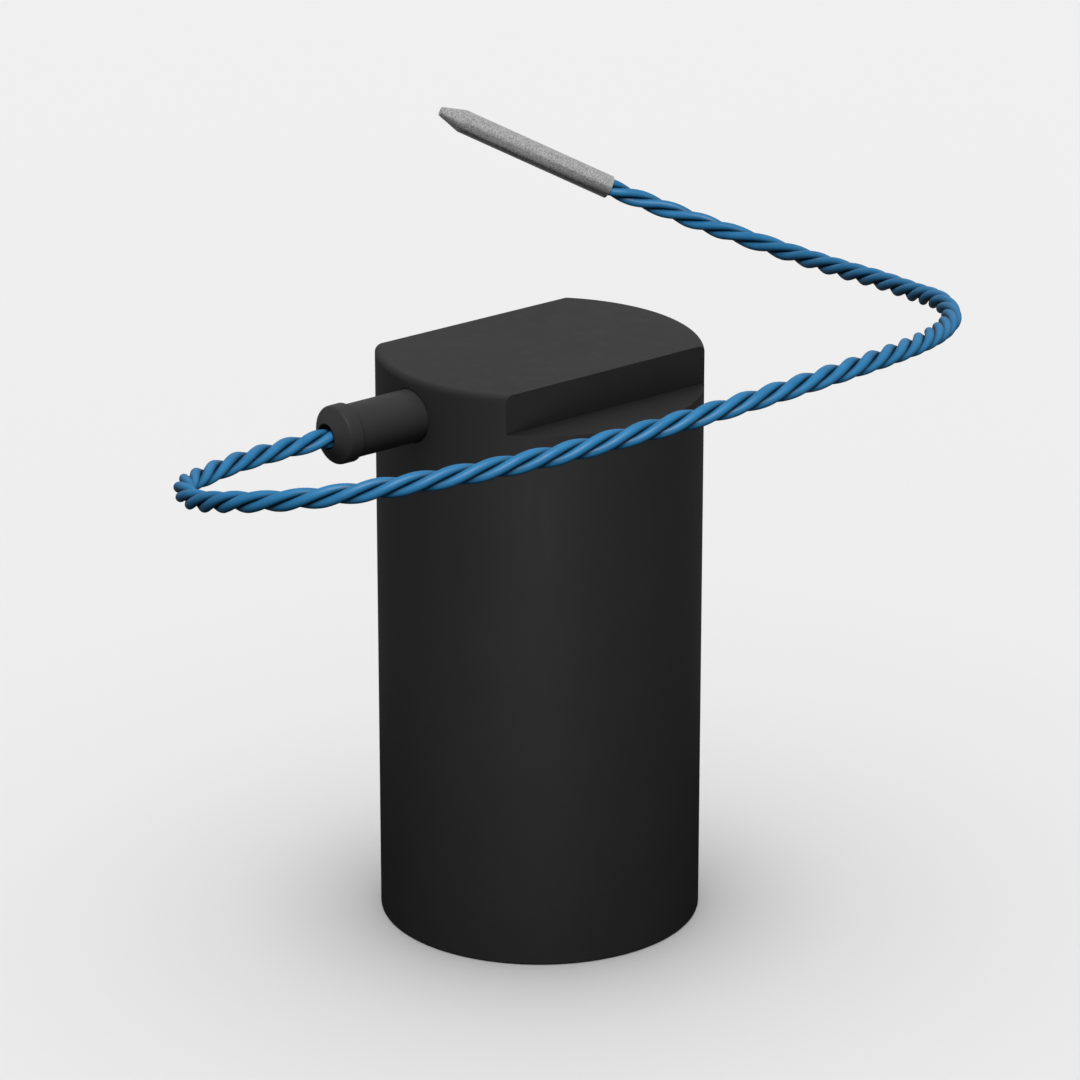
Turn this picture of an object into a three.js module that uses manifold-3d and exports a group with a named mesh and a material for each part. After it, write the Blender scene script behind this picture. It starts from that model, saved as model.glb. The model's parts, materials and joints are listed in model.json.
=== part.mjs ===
// Soil moisture sensor: a sealed battery radio node with a probe pin on a twisted lead.
// Millimetres, +Z up. The origin is the centre of the base's underside. The lead's spigot
// points along -X, and the two spanner flats face +Y and -Y.

import * as THREE from "three";
import { mergeVertices } from "three/addons/utils/BufferGeometryUtils.js";
import Module from "manifold-3d";

const wasm = await Module();
wasm.setup();

// ---- driving dimensions -------------------------------------------------------------

const bodyRadius = 20;
const bodyHeight = 73.4;
const wall = 2.4;
const rimFillet = 0.8;
const footChamfer = 0.2;
const gap = 0.3; // clearance kept between neighbouring pieces

const flatOffset = 12.7; // spanner flats, 25.4 across
const flatDepth = 4.8; // height of the flats below the top face
const roof = 2;
const ledgeFloor = 2.6; // plastic left under each ledge

const spigotHeight = 68.65;
const spigotRadius = 3.24;
const spigotReach = 32.45; // from the body's axis to the mouth
const collarRadius = 3.6;
const collarStart = 29.15;
const collarEnd = 31.2;
const spigotBore = 1.58;
const shankRadius = 2.2;
const shankStart = 12.9;
const shoulder = 18.9; // where the spigot's tube seats in the wall
const pottingStart = 14; // the potting that seals the lead inside the spigot
const spigotRingRadius = 2.85;
const spigotRingSection = 0.35;

const leadRadius = 1.25; // circle round the three twisted wires
const leadStart = 26.2; // inside the spigot's bore
const leadHeight = 68.5; // the lead lies a little low in the bore
const wireRadius = 0.5;
const cellWireRadius = 0.4;

const pinRadius = 1.55;
const pinTaper = 3.2;
const pinTipRadius = 0.52;
const pinBore = 1.1;
const pinBoreDepth = 20;

const capRadius = 17.2;
const capHeight = 9;
const capFloor = 3;
const capSpan = 13.5; // inner radius of the cap's cup
const lugCount = 3;
const lugRadius = 18.5;
const lugWidth = THREE.MathUtils.degToRad(14);
const lugLow = 2;
const lugHigh = 3.8;
const capTurn = THREE.MathUtils.degToRad(45);
const driveHoleRadius = 2;
const driveHoleDepth = 1.8;
const driveHoleOffset = 9;

const sealRadius = 16.65;
const sealSection = 0.65;
const sealHeight = 6.8;
const sealGrooveRadius = 15.7;
const sealGrooveHalf = 1.2;

const boardBack = -3.2;
const boardThickness = 1.6;
const boardFront = boardBack - boardThickness;
const boardHalfWidth = 14;
const boardLow = 14;
const boardHigh = 62;

const cellRadius = 8.5;
const cellLow = 15.5;
const cellHigh = 49;
const cellCentre = 6.3; // Y of the cell's axis

const carrierRadius = 16.8;
const carrierFloorLow = 9.5;
const carrierFloorHigh = 11.5;
const carrierShelfLow = 52.5;
const carrierShelfHigh = 54.5;

const boreRadius = bodyRadius - wall;
const ceiling = bodyHeight - flatDepth - ledgeFloor;
const blockCentre = -3; // X of the terminal block's middle way
const wayPitch = 3.5;
const blockLow = 50;
const blockTop = 58;
const blockDepth = 7;
const blockFront = boardFront - gap - blockDepth;
const screwHeight = 55;
const screwRadius = 1;

// Hand-laid route of the lead's centre line, from the spigot's bore to the pin.
const leadRoute = [
  [-leadStart, 0, leadHeight],
  [-31.7, 0, leadHeight],
  [-37.5, -0.1, 68.6],
  [-43.9, -1.4, 69.1],
  [-50.0, -3.5, 69.7],
  [-54.2, -5.6, 70.2],
  [-57.5, -7.6, 70.8],
  [-60.2, -10.4, 71.3],
  [-61.8, -13.6, 71.6],
  [-62.6, -17.5, 72.4],
  [-62.6, -22.7, 73.8],
  [-61.0, -28.0, 75.0],
  [-57.6, -33.5, 76.3],
  [-51.1, -38.5, 77.5],
  [-43.1, -42.6, 78.5],
  [-34.5, -45.9, 79.5],
  [-25.2, -48.5, 80.6],
  [-16.2, -50.0, 81.4],
  [-6.1, -50.4, 81.9],
  [3.8, -49.5, 81.9],
  [14.4, -46.5, 81.0],
  [24.3, -42.0, 79.6],
  [32.8, -36.4, 78.0],
  [38.5, -31.6, 77.2],
  [43.3, -24.7, 76.3],
  [48.1, -15.0, 74.2],
  [51.9, -4.6, 72.5],
  [54.8, 6.1, 70.9],
  [56.9, 16.1, 69.8],
  [56.8, 24.8, 69.8],
  [54.2, 33.0, 71.0],
  [51.0, 38.4, 72.7],
  [48.8, 40.4, 73.8],
  [46.3, 41.9, 75.1],
];
const pinTip = new THREE.Vector3(26.7, 53.4, 86.6);

// ---- materials ----------------------------------------------------------------------

function paint(color, roughness, metalness = 0) {
  return new THREE.MeshStandardMaterial({ color, roughness, metalness });
}

const paints = {
  housing: () => paint(0x2b2b2b, 0.55),
  blackNylon: () => paint(0x1d1d1d, 0.5),
  rubber: () => paint(0x141414, 0.8),
  potting: () => paint(0x20262b, 0.35),
  bluePlastic: () => paint(0x3a8fc8, 0.4),
  pinMetal: () => paint(0xb9b7b2, 0.7, 0.6),
  boardGreen: () => paint(0x14532d, 0.5),
  chipBlack: () => paint(0x161616, 0.5),
  tinned: () => paint(0xc3c5c6, 0.35, 0.9),
  nickel: () => paint(0xcfcac0, 0.3, 0.9),
  copper: () => paint(0xb87333, 0.4, 0.9),
  sleeveGreen: () => paint(0x2f7d4f, 0.45),
  carrierGrey: () => paint(0x8c8f91, 0.6),
  cellWrap: () => paint(0x30548c, 0.4),
  redWire: () => paint(0xb32222, 0.45),
  blackWire: () => paint(0x222222, 0.45),
  bead: () => paint(0x6b3a1e, 0.4),
};

// ---- solids -------------------------------------------------------------------------

// Keeps only positions, shares the vertices and turns the faces outwards.
function closed(geometry) {
  const bare = geometry.clone();
  bare.deleteAttribute("normal");
  bare.deleteAttribute("uv");
  const merged = mergeVertices(bare, 1e-4);
  const position = merged.getAttribute("position");
  const index = merged.getIndex();
  const kept = [];
  let volume = 0;
  const a = new THREE.Vector3();
  const b = new THREE.Vector3();
  const c = new THREE.Vector3();
  for (let i = 0; i < index.count; i += 3) {
    const [p, q, r] = [index.getX(i), index.getX(i + 1), index.getX(i + 2)];
    if (p === q || q === r || r === p) continue;
    a.fromBufferAttribute(position, p);
    b.fromBufferAttribute(position, q);
    c.fromBufferAttribute(position, r);
    volume += a.dot(b.cross(c));
    kept.push(p, q, r);
  }
  if (volume < 0) {
    for (let i = 0; i < kept.length; i += 3) [kept[i], kept[i + 1]] = [kept[i + 1], kept[i]];
  }
  merged.setIndex(kept);
  return merged;
}

function toManifold(geometry) {
  const shape = closed(geometry);
  const vertProperties = new Float32Array(shape.getAttribute("position").array);
  const triVerts = new Uint32Array(shape.getIndex().array);
  return new wasm.Manifold(new wasm.Mesh({ numProp: 3, vertProperties, triVerts }));
}

function toGeometry(manifold) {
  const mesh = manifold.getMesh();
  const geometry = new THREE.BufferGeometry();
  geometry.setAttribute("position", new THREE.BufferAttribute(mesh.vertProperties, 3));
  geometry.setIndex(new THREE.BufferAttribute(mesh.triVerts, 1));
  geometry.computeVertexNormals();
  return geometry;
}

// A body with other shapes joined on and then others cut away.
function carve(base, { add = [], cut = [] }) {
  let result = toManifold(base);
  for (const shape of add) result = result.add(toManifold(shape));
  for (const shape of cut) result = result.subtract(toManifold(shape));
  return toGeometry(result);
}

// A turned shape about +Z from [radius, height] pairs.
function turned(profile, segments = 48) {
  const points = profile.map(([r, z]) => new THREE.Vector2(r, z));
  return closed(new THREE.LatheGeometry(points, segments).rotateX(Math.PI / 2));
}

// The same, closed on itself, for a shape with a hole down its middle.
function turnedRing(profile, segments = 48) {
  return turned([...profile, profile[0]], segments);
}

function rod(radius, low, high, segments = 24) {
  return turned([[0, low], [radius, low], [radius, high], [0, high]], segments);
}

function ring(radius, section, segments = 48) {
  return closed(new THREE.TorusGeometry(radius, section, 8, segments));
}

function block(x0, x1, y0, y1, z0, z1) {
  const box = new THREE.BoxGeometry(x1 - x0, y1 - y0, z1 - z0);
  return box.translate((x0 + x1) / 2, (y0 + y1) / 2, (z0 + z1) / 2);
}

const sectorStep = THREE.MathUtils.degToRad(4);

// A sector of a ring between two radii, from one angle to another about +Z.
function sector(inner, outer, from, to, low, high) {
  const shape = new THREE.Shape();
  shape.absarc(0, 0, outer, from, to, false);
  shape.absarc(0, 0, inner, to, from, true);
  const curveSegments = Math.ceil((to - from) / sectorStep);
  const options = { depth: high - low, bevelEnabled: false, curveSegments };
  return new THREE.ExtrudeGeometry(shape, options).translate(0, 0, low);
}

// A round tube along a curve.
function tube(curve, radius, steps, sides = 8) {
  const shape = new THREE.Shape();
  for (let i = 0; i < sides; i += 1) {
    const angle = (2 * Math.PI * i) / sides;
    const [x, y] = [radius * Math.cos(angle), radius * Math.sin(angle)];
    if (i === 0) shape.moveTo(x, y);
    else shape.lineTo(x, y);
  }
  return closed(new THREE.ExtrudeGeometry(shape, { steps, extrudePath: curve }));
}

function smoothCurve(points) {
  const vectors = points.map((p) => new THREE.Vector3(...p));
  return new THREE.CatmullRomCurve3(vectors, false, "centripetal");
}

class Coil extends THREE.Curve {
  constructor(bottomRadius, topRadius, height, turns) {
    super();
    Object.assign(this, { bottomRadius, topRadius, height, turns });
  }
  getPoint(t, target = new THREE.Vector3()) {
    const radius = THREE.MathUtils.lerp(this.bottomRadius, this.topRadius, t);
    const angle = 2 * Math.PI * this.turns * t;
    return target.set(radius * Math.cos(angle), radius * Math.sin(angle), this.height * t);
  }
}

// ---- housing ------------------------------------------------------------------------

function shellOutline() {
  const profile = [[0, 0], [bodyRadius - footChamfer, 0], [bodyRadius, footChamfer]];
  const arcSteps = 4;
  for (let i = 0; i <= arcSteps; i += 1) {
    const angle = (Math.PI / 2) * (i / arcSteps);
    const radius = bodyRadius - rimFillet + rimFillet * Math.cos(angle);
    profile.push([radius, bodyHeight - rimFillet + rimFillet * Math.sin(angle)]);
  }
  return [...profile, [0, bodyHeight]];
}

function flatCut(side) {
  const [inner, outer] = [side * flatOffset, side * (bodyRadius + 1)];
  const low = bodyHeight - flatDepth;
  const reach = bodyRadius + 1;
  return block(-reach, reach, Math.min(inner, outer), Math.max(inner, outer), low, bodyHeight + 1);
}

// Each bayonet slot is an entry from below and a track that the lug turns along.
function bayonetSlots() {
  const cuts = [];
  const slotRadius = lugRadius + gap;
  const entryRadius = slotRadius + 0.2;
  const slack = 0.02;
  const inner = boreRadius - 1;
  for (let i = 0; i < lugCount; i += 1) {
    const locked = (2 * Math.PI * i) / lugCount;
    const open = locked - capTurn;
    const trackEnd = locked + lugWidth / 2 + slack;
    cuts.push(sector(inner, slotRadius, open, trackEnd, lugLow - gap, lugHigh + gap));
    const half = lugWidth / 2 + 2 * slack;
    cuts.push(sector(inner, entryRadius, open - half, open + half, -1, lugHigh + gap + 0.1));
  }
  return cuts;
}

function spigotHole(radius, from, to) {
  return rod(radius, from, to, 32).rotateY(-Math.PI / 2).translate(0, 0, spigotHeight);
}

function housingShell() {
  const pocket = block(-14.5, 14.5, -9.5, 9.5, ceiling - 1, bodyHeight - roof);
  return carve(turned(shellOutline(), 72), {
    cut: [
      flatCut(1),
      flatCut(-1),
      rod(boreRadius, -1, ceiling, 64),
      pocket,
      spigotHole(spigotRadius + gap, 17.2, bodyRadius + 1),
      spigotHole(shankRadius + gap, 14, 18),
      ...bayonetSlots(),
    ],
  });
}

// ---- base cap -----------------------------------------------------------------------

function baseCap() {
  const grooveLow = sealHeight - sealGrooveHalf;
  const grooveHigh = sealHeight + sealGrooveHalf;
  const profile = [
    [0, 0],
    [capRadius - footChamfer, 0],
    [capRadius, footChamfer],
    [capRadius, grooveLow],
    [sealGrooveRadius, grooveLow],
    [sealGrooveRadius, grooveHigh],
    [capRadius, grooveHigh],
    [capRadius, capHeight],
    [capSpan, capHeight],
    [capSpan, capFloor],
    [0, capFloor],
  ];
  const lugs = [];
  for (let i = 0; i < lugCount; i += 1) {
    const centre = (2 * Math.PI * i) / lugCount;
    const [from, to] = [centre - lugWidth / 2, centre + lugWidth / 2];
    lugs.push(sector(capRadius - 1, lugRadius, from, to, lugLow, lugHigh));
  }
  const holes = [-1, 1].map((side) =>
    rod(driveHoleRadius, -1, driveHoleDepth).translate(side * driveHoleOffset, 0, 0),
  );
  return carve(turned(profile, 64), { add: lugs, cut: holes });
}

// ---- spigot -------------------------------------------------------------------------

// Turned about its own axis, with height measured from the body's axis.
function spigot() {
  return turnedRing(
    [
      [spigotBore, shankStart],
      [shankRadius, shankStart],
      [shankRadius, shoulder],
      [spigotRadius, shoulder],
      [spigotRadius, collarStart],
      [collarRadius - 0.05, collarStart + 0.3],
      [collarRadius, collarStart + 0.6],
      [collarRadius - 0.12, collarEnd],
      [spigotBore + 0.15, spigotReach - 0.05],
      [spigotBore, spigotReach],
    ],
    32,
  );
}

// ---- carrier and board --------------------------------------------------------------

function carrierRail(side) {
  const [inner, outer] = [13, 15.7];
  const [x0, x1] = side < 0 ? [-outer, -inner] : [inner, outer];
  return block(x0, x1, -6.8, -1.2, carrierFloorLow, ceiling - gap);
}

function carrier() {
  const slotReach = boardHalfWidth + gap;
  const front = block(-20, 20, -20, -2, carrierFloorHigh + 1, carrierShelfHigh + 1);
  const shelf = carve(rod(carrierRadius, carrierShelfLow, carrierShelfHigh, 48), { cut: [front] });
  const spine = block(-1.5, 1.5, 15.1, 16.6, carrierFloorLow, carrierShelfHigh);
  const slotFront = boardFront - gap;
  const slotBack = boardBack + gap;
  const slot = block(-slotReach, slotReach, slotFront, slotBack, boardLow - gap, ceiling);
  return carve(rod(carrierRadius, carrierFloorLow, carrierFloorHigh, 48), {
    add: [shelf, spine, carrierRail(-1), carrierRail(1)],
    cut: [slot],
  });
}

// A flat part standing on the board's front face.
function onBoard(x0, x1, z0, z1, height, lift = gap) {
  return block(x0, x1, boardFront - lift - height, boardFront - lift, z0, z1);
}

function terminalBlock() {
  const [left, right] = [blockCentre - 5.5, blockCentre + 5.5];
  const body = onBoard(left, right, blockLow, blockTop, blockDepth);
  const wells = [-1, 0, 1].map((way) => {
    const well = rod(screwRadius + gap, -1, 3.5, 16).rotateX(-Math.PI / 2);
    return well.translate(blockCentre + way * wayPitch, blockFront, screwHeight);
  });
  return carve(body, { cut: wells });
}

function terminalScrew(way) {
  const screw = rod(screwRadius, gap, 3, 16).rotateX(-Math.PI / 2);
  return screw.translate(blockCentre + way * wayPitch, blockFront, screwHeight);
}

// A conductor from the spigot's inner end down into its way of the terminal block.
function innerWire(way) {
  const spread = 0.75; // from the spigot's axis to each conductor
  const angle = Math.PI * (1 / 2 + (2 * way) / 3);
  const side = -spread * Math.cos(angle);
  const rise = spread * Math.sin(angle);
  const x = blockCentre + way * wayPitch;
  const y = boardFront - 3.8;
  const route = smoothCurve([
    [-(pottingStart - gap), side, spigotHeight + rise],
    [-11.6, side * 1.2, spigotHeight + rise * 1.2],
    [-8.6 + way * 1.2, -3.2 + way * 1.4, spigotHeight - 1 + rise],
    [x - 0.8, y + 1.2, 64.5],
    [x, y, 61],
    [x, y, blockTop + gap],
  ]);
  return tube(route, wireRadius, 18);
}

// A wire from one of the cell's contacts to the back of the board.
function cellWire(points) {
  const height = points.at(-1)[2];
  return tube(smoothCurve([...points, [8, boardBack + gap, height]]), cellWireRadius, 12);
}

// ---- cell and its contacts ----------------------------------------------------------

function cell() {
  return turned([
    [0, cellLow],
    [cellRadius - 0.5, cellLow],
    [cellRadius, cellLow + 0.5],
    [cellRadius, cellHigh - 0.8],
    [cellRadius - 0.8, cellHigh],
    [3.1, cellHigh],
    [3.1, cellHigh + 1],
    [0, cellHigh + 1],
  ]);
}

function cellContact() {
  const top = carrierShelfLow - gap;
  const plate = 0.4;
  const dimple = 1.9;
  const profile = [
    [0, top - dimple],
    [1.6, top - dimple],
    [2.4, top - plate],
    [4.5, top - plate],
    [4.5, top],
    [0, top],
  ];
  return turned(profile, 32);
}

// ---- probe --------------------------------------------------------------------------

// The probe's pieces are turned about +Z, with the lead's end at zero.
function pinSheath(length) {
  return turned(
    [
      [pinBore, 0],
      [pinRadius - 0.1, 0],
      [pinRadius, 0.1],
      [pinRadius, length - pinTaper],
      [pinTipRadius, length],
      [0, length],
      [0, pinBoreDepth],
      [pinBore, pinBoreDepth],
      [pinBore, 0],
    ],
    24,
  );
}

// ---- assembly -----------------------------------------------------------------------

const sensor = new THREE.Group();

function place(parent, name, geometry, material) {
  const mesh = new THREE.Mesh(geometry, material);
  mesh.name = name;
  parent.add(mesh);
  return mesh;
}

place(sensor, "housing_shell", housingShell(), paints.housing());
place(sensor, "base_cap", baseCap(), paints.housing());
place(sensor, "base_cap_oring", ring(sealRadius, sealSection), paints.rubber()).position.z = sealHeight;

// The spigot and its seals share an axis that points along -X.
const spigotGroup = new THREE.Group();
spigotGroup.rotation.y = -Math.PI / 2;
spigotGroup.position.z = spigotHeight;
sensor.add(spigotGroup);
place(spigotGroup, "spigot", spigot(), paints.blackNylon());
const spigotRing = ring(spigotRingRadius, spigotRingSection, 24);
place(spigotGroup, "spigot_oring", spigotRing, paints.rubber()).position.z = shoulder - 0.85;
const seal = rod(spigotBore - gap, pottingStart, leadStart - gap);
place(spigotGroup, "lead_seal", seal, paints.potting());

place(sensor, "carrier", carrier(), paints.carrierGrey());
const board = block(-boardHalfWidth, boardHalfWidth, boardFront, boardBack, boardLow, boardHigh);
place(sensor, "circuit_board", board, paints.boardGreen());
place(sensor, "radio_board", onBoard(-8, 8, 18, 36, 0.8), paints.boardGreen());
place(sensor, "radio_shield", onBoard(-7, 7, 20, 34, 2.2, 2 * gap + 0.8), paints.tinned());
place(sensor, "microcontroller", onBoard(-11, -4, 39, 46, 1.2), paints.chipBlack());
place(sensor, "crystal", onBoard(-1, 4, 41, 44.2, 1.2), paints.tinned());
const capacitor = rod(3.15, gap, gap + 5.8).rotateX(Math.PI / 2);
place(sensor, "supply_capacitor", capacitor.translate(8.5, boardFront, 43), paints.tinned());
const antenna = tube(new Coil(1.8, 1.8, 10.5, 6), 0.3, 72);
place(sensor, "antenna", antenna.translate(10.2, -7.6, 49.5), paints.copper());
place(sensor, "terminal_block", terminalBlock(), paints.sleeveGreen());
for (const way of [-1, 0, 1]) {
  place(sensor, `terminal_screw_${way + 2}`, terminalScrew(way), paints.nickel());
  place(sensor, `inner_wire_${way + 2}`, innerWire(way), paints.bluePlastic());
}

place(sensor, "battery_cell", cell().translate(0, cellCentre, 0), paints.cellWrap());
const springHeight = cellLow - carrierFloorHigh - 2 * gap - 0.8;
const spring = tube(new Coil(5.2, 3, springHeight, 2.5), 0.35, 40);
place(sensor, "battery_spring", spring, paints.nickel()).position.set(
  0,
  cellCentre,
  carrierFloorHigh + gap + 0.4,
);
place(sensor, "battery_contact", cellContact().translate(0, cellCentre, 0), paints.nickel());
const positive = cellWire([[5.2, cellCentre, 51.6], [7, 2, 50.9], [8, -1, 50.8]]);
place(sensor, "battery_wire_positive", positive, paints.redWire());
const negative = cellWire([[6.6, cellCentre, 12.5], [7.5, 1.5, 12.8], [8, -1, 15], [8, -2, 16.6]]);
place(sensor, "battery_wire_negative", negative, paints.blackWire());

place(sensor, "lead", tube(smoothCurve(leadRoute), leadRadius, 76), paints.bluePlastic());

// The pin stands off the lead's end along its own axis.
const leadEnd = new THREE.Vector3(...leadRoute.at(-1));
const pinAxis = pinTip.clone().sub(leadEnd).normalize();
const pinLength = pinTip.distanceTo(leadEnd) - gap;
const pin = new THREE.Group();
pin.quaternion.setFromUnitVectors(new THREE.Vector3(0, 0, 1), pinAxis);
pin.position.copy(leadEnd).addScaledVector(pinAxis, gap);
sensor.add(pin);
place(pin, "probe_sheath", pinSheath(pinLength), paints.pinMetal());
place(pin, "probe_end_seal", rod(0.8, 0, 2.5, 16), paints.potting());
place(pin, "probe_thermistor", closed(new THREE.SphereGeometry(0.7, 12, 8)), paints.bead()).position.z = 4;
place(pin, "probe_heater", rod(0.75, 6, 18, 16), paints.copper());

export default sensor;
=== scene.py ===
import json
import math

import bmesh
import bpy
from mathutils import Matrix, Vector

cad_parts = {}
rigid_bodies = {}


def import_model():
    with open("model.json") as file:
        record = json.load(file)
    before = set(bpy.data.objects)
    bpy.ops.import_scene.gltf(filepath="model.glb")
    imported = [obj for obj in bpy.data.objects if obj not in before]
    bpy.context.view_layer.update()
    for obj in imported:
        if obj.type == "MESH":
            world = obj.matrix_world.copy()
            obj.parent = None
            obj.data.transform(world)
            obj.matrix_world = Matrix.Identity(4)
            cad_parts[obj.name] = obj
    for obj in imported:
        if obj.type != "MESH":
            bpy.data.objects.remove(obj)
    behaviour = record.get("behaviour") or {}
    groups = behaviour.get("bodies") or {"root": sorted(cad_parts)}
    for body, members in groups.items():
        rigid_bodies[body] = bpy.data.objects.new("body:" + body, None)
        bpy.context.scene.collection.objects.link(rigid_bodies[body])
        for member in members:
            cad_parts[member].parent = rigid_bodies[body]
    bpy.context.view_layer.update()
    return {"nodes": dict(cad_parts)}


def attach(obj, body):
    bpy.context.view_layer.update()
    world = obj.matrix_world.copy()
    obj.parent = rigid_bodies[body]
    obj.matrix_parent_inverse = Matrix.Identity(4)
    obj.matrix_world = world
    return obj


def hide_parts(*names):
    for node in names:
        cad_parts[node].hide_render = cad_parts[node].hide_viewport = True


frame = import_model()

MM = 0.001
SHARP = math.radians(32)  # edges that turn more than this stay crisp
HARD_EDGE = math.radians(40)  # edges that turn more than this get a small round
ON_AXIS = 1e-9
WELD = 1e-7

# ---- camera ---------------------------------------------------------------------------

VIEW_AZIMUTH = 39.15  # degrees from +Y towards +X that the camera looks along
VIEW_PITCH = 20.296  # degrees that it looks down
CAMERA_PLACE = Vector((-367.72, -451.73, 263.6)) * MM
CAMERA_LENS = 168.337
CAMERA_SENSOR = 36

azimuth, pitch = math.radians(VIEW_AZIMUTH), math.radians(VIEW_PITCH)
forward = Vector((
    math.sin(azimuth) * math.cos(pitch),
    math.cos(azimuth) * math.cos(pitch),
    -math.sin(pitch),
))
camera = bpy.data.objects.new("camera", bpy.data.cameras.new("camera"))
camera.data.lens = CAMERA_LENS
camera.data.sensor_width = CAMERA_SENSOR
camera.data.clip_start = 0.01
camera.data.clip_end = 60
camera.location = CAMERA_PLACE
camera.rotation_mode = "QUATERNION"
camera.rotation_quaternion = forward.to_track_quat("-Z", "Y")
bpy.context.scene.collection.objects.link(camera)
bpy.context.scene.camera = camera

# ---- materials ------------------------------------------------------------------------

NOISE_SPAN = (0.3, 0.7)  # where nearly all values of a noise texture lie
SKY_SAMPLES = 8


class Paint:
    """A Principled material and short ways to wire procedural nodes into it."""

    def __init__(self, name, color, roughness, metallic=0.0, specular=0.5, coat=0.0):
        self.material = bpy.data.materials.new(name)
        self.material.use_nodes = True
        self.tree = self.material.node_tree
        self.bsdf = self.tree.nodes["Principled BSDF"]
        self.bsdf.inputs["Base Color"].default_value = (*color, 1)
        self.bsdf.inputs["Roughness"].default_value = roughness
        self.bsdf.inputs["Metallic"].default_value = metallic
        self.bsdf.inputs["Specular IOR Level"].default_value = specular
        self.bsdf.inputs["Coat Weight"].default_value = coat
        self.coords = self.tree.nodes.new("ShaderNodeTexCoord").outputs["Object"]

    def node(self, kind, inputs=None, **settings):
        made = self.tree.nodes.new(kind)
        for key, value in settings.items():
            setattr(made, key, value)
        for key, value in (inputs or {}).items():
            if isinstance(value, bpy.types.NodeSocket):
                self.tree.links.new(value, made.inputs[key])
            else:
                made.inputs[key].default_value = value
        return made

    def stretched(self, scale):
        """Object coordinates scaled along each axis, to draw a pattern out."""
        node = self.node("ShaderNodeMapping", {"Vector": self.coords, "Scale": scale})
        return node.outputs["Vector"]

    def noise(self, size, detail=2.0, roughness=0.5, vector=None):
        """Noise whose features are about size metres across."""
        return self.node("ShaderNodeTexNoise", {
            "Vector": vector or self.coords,
            "Scale": 1 / size,
            "Detail": detail,
            "Roughness": roughness,
        }).outputs["Fac"]

    def levels(self, factor, low, high, to_low=0.0, to_high=1.0):
        """factor with its range from low to high spread over to_low to to_high."""
        return self.node("ShaderNodeMapRange", {
            "Value": factor,
            "From Min": low,
            "From Max": high,
            "To Min": to_low,
            "To Max": to_high,
        }).outputs["Result"]

    def blend(self, factor, a, b):
        """Colour a where factor is 0 and b where it is 1."""
        mix = self.node("ShaderNodeMix", data_type="RGBA")
        self.tree.links.new(factor, mix.inputs["Factor"])
        for socket, value in ((mix.inputs[6], a), (mix.inputs[7], b)):
            if isinstance(value, bpy.types.NodeSocket):
                self.tree.links.new(value, socket)
            else:
                socket.default_value = (*value, 1)
        return mix.outputs[2]

    def occlusion_for_painted_shade(self, reach, alone=True):
        """1 on open surface and 0 deep in a crease; alone leaves other pieces out of it.

        Only what is within reach metres counts. The materials use it to paint shade into creases and
        a shadow round the object's foot.
        """
        settings = {"samples": SKY_SAMPLES, "only_local": alone}
        node = self.node("ShaderNodeAmbientOcclusion", {"Distance": reach}, **settings)
        return node.outputs["AO"]

    def color(self, socket):
        self.tree.links.new(socket, self.bsdf.inputs["Base Color"])

    def rough(self, factor, low, high):
        """Roughness between low and high over the part of its range that a noise mostly fills."""
        level = self.levels(factor, *NOISE_SPAN, low, high)
        self.tree.links.new(level, self.bsdf.inputs["Roughness"])

    def bump(self, height, depth, strength):
        """Bumps of depth metres, over any bumps that are already there."""
        previous = self.bsdf.inputs["Normal"].links
        inputs = {"Height": height, "Distance": depth, "Strength": strength}
        bump = self.node("ShaderNodeBump", inputs)
        if previous:
            self.tree.links.new(previous[0].from_socket, bump.inputs["Normal"])
        self.tree.links.new(bump.outputs["Normal"], self.bsdf.inputs["Normal"])


def moulded(name, dark, light, rough_low, rough_high):
    """Spark-textured moulded plastic: a fine grain, slow tone changes and a few rubbed streaks."""
    p = Paint(name, dark, rough_high, specular=0.12)
    cloud = p.noise(0.011, 4.0)
    grain = p.noise(0.00016, 3.0, 0.6)
    p.color(p.blend(p.levels(cloud, 0.35, 0.68), dark, light))
    streaks = p.noise(0.0016, 3.0, vector=p.stretched((1, 1, 0.12)))
    matt, rubbed = (0.6,) * 3, (0.38,) * 3
    p.rough(p.blend(p.levels(streaks, 0.5, 0.75), matt, rubbed), rough_low, rough_high)
    p.bump(grain, 0.000012, 0.6)
    p.bump(p.noise(0.004, 2.0), 0.00003, 0.3)
    return p.material


def insulation(name, dark, light):
    """Extruded wire insulation: satin, with slow tone changes, painted shade that darkens the creases
    between the strands, and fine draw marks.
    """
    p = Paint(name, light, 0.45, specular=0.13)
    cloud = p.noise(0.0025, 3.0)
    unshaded = p.blend(p.levels(cloud, *NOISE_SPAN), dark, light)
    # Painted shade: crease is the painted shade colour in the grooves where the strands shade one
    # another, and open surface is darkened a little too
    crease = tuple(0.15 * c for c in dark)
    p.color(p.blend(p.levels(p.occlusion_for_painted_shade(0.0016), 0.46, 1.04), crease, unshaded))
    p.rough(p.noise(0.0009, 3.0), 0.41, 0.51)
    p.bump(p.noise(0.00022, 3.0, 0.6), 0.000006, 0.5)
    return p.material


def blasted_metal(name, dark, light):
    """Bead-blasted steel: a close speckle of pits with a few darker ones."""
    p = Paint(name, light, 0.36, metallic=0.92, specular=0.3)
    speckle = p.noise(0.00021, 4.0, 0.7)
    patches = p.noise(0.0014, 3.0)
    mottled = p.blend(p.levels(speckle, 0.38, 0.62), dark, light)
    worn = tuple(0.82 * c for c in light)
    p.color(p.blend(p.levels(patches, 0.42, 0.75, 0.0, 0.55), mottled, worn))
    p.rough(speckle, 0.3, 0.42)
    p.bump(speckle, 0.000006, 0.5)
    return p.material


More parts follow.
